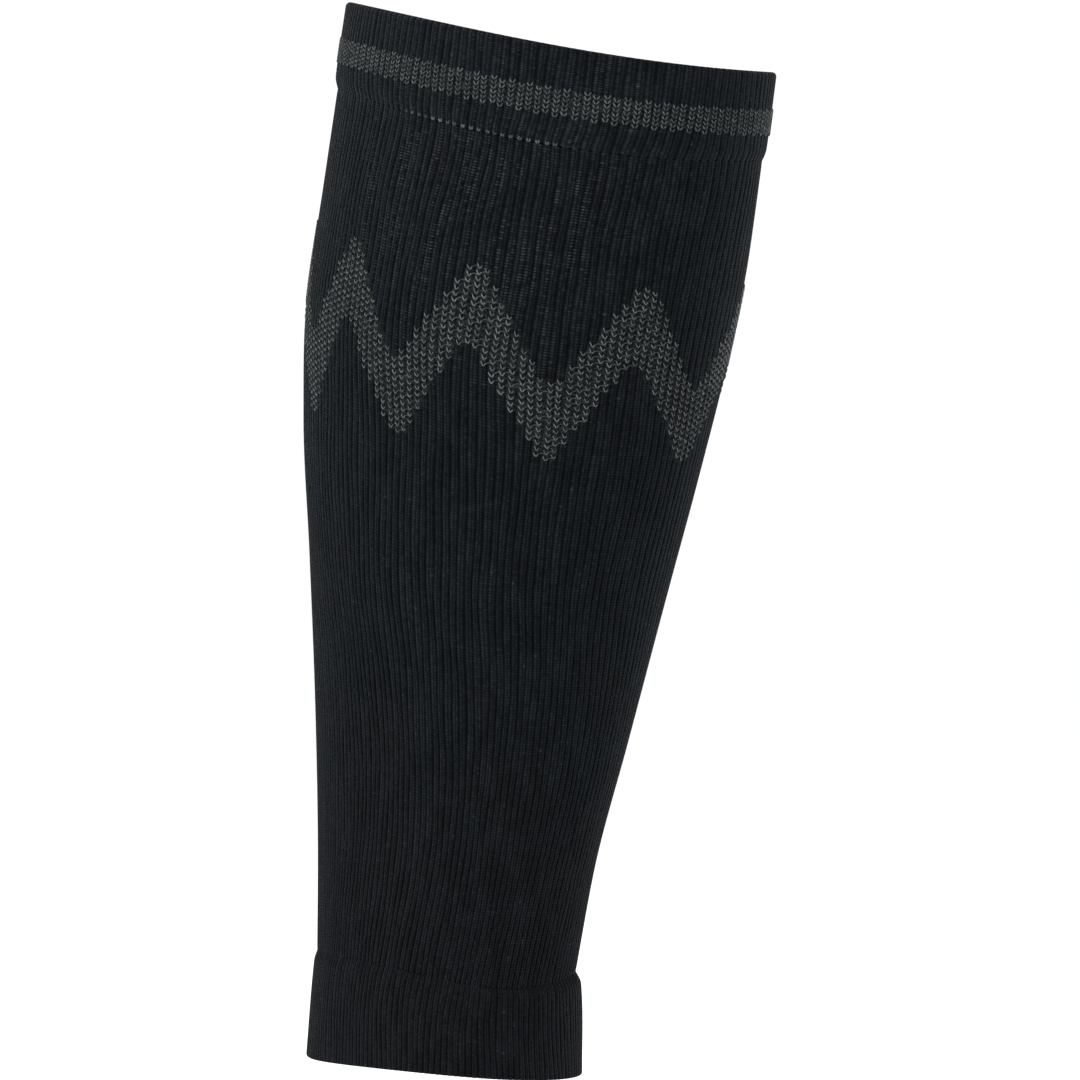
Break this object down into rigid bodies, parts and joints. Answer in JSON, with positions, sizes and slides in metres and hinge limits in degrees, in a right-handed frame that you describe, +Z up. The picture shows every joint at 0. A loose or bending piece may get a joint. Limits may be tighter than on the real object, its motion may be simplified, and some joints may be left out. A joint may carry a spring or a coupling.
{
  "type": "calf compression sleeve",
  "caption": "Tapered rib-knit compression sleeve for the calf, black, with a folded cuff at knee and ankle and a grey knitted-in band; open at both ends.",
  "frame": {"origin": "on the leg's axis at the fullest girth of the calf, where the sleeve grips the leg", "axes": "+Z up along the leg from ankle to knee, +X to the right and -Y towards a viewer facing the shin"},
  "size_m": [0.1326, 0.1289, 0.3168],
  "materials": {
    "tube_knit": "matte black rib knit",
    "cuff_knit": "matte black rib knit, two layers",
    "grey_yarn": "matte grey yarn"
  },
  "bodies": {
    "root": {"leg_tube": "tube_knit", "knee_cuff": "cuff_knit", "ankle_cuff": "cuff_knit"}
  },
  "joints": []
}
